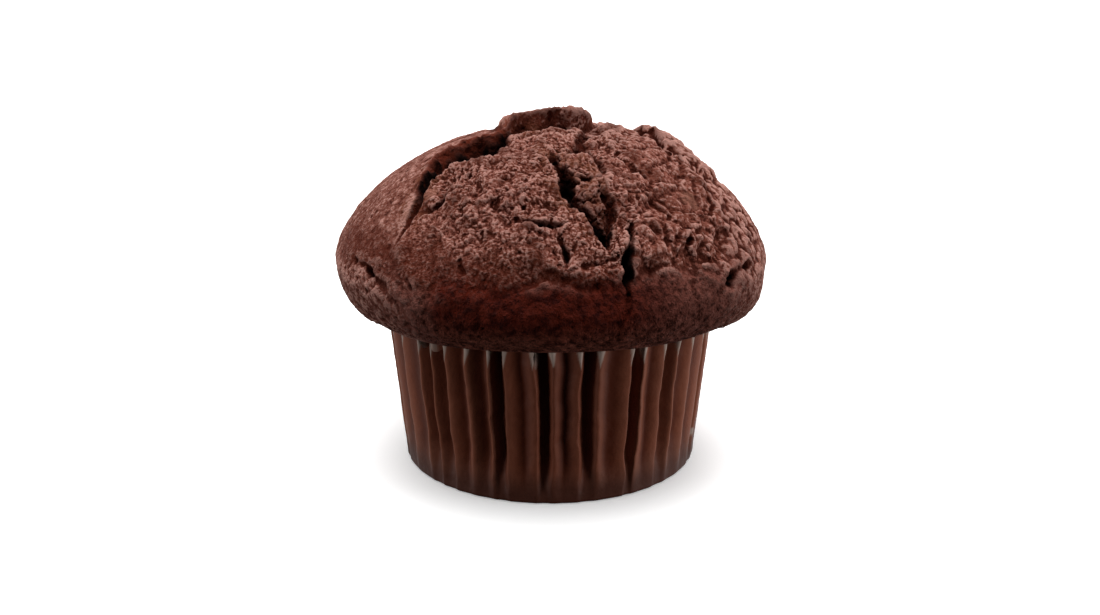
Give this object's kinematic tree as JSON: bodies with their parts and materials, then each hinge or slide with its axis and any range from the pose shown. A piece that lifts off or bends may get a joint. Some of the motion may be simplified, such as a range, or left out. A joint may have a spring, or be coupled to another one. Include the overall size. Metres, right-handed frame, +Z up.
{
  "type": "muffin",
  "caption": "Chocolate muffin: a tall risen cap, split and craggy on top, bulging over a tapered pleated paper baking case with a flat base.",
  "frame": {"origin": "centre of the flat underside of the paper case", "axes": "+Z up through the cap, -Y towards the front, where the central crack runs down, +X to the right seen from the front"},
  "size_m": [0.0724, 0.0725, 0.0593],
  "materials": {
    "chocolate_cake": "dry, rough, open-pored chocolate crust with fine crumb in its cracks",
    "baking_paper": "thin dark brown greaseproof paper with a soft waxy sheen"
  },
  "bodies": {
    "root": {"cake": "chocolate_cake", "paper_case": "baking_paper"}
  },
  "joints": []
}
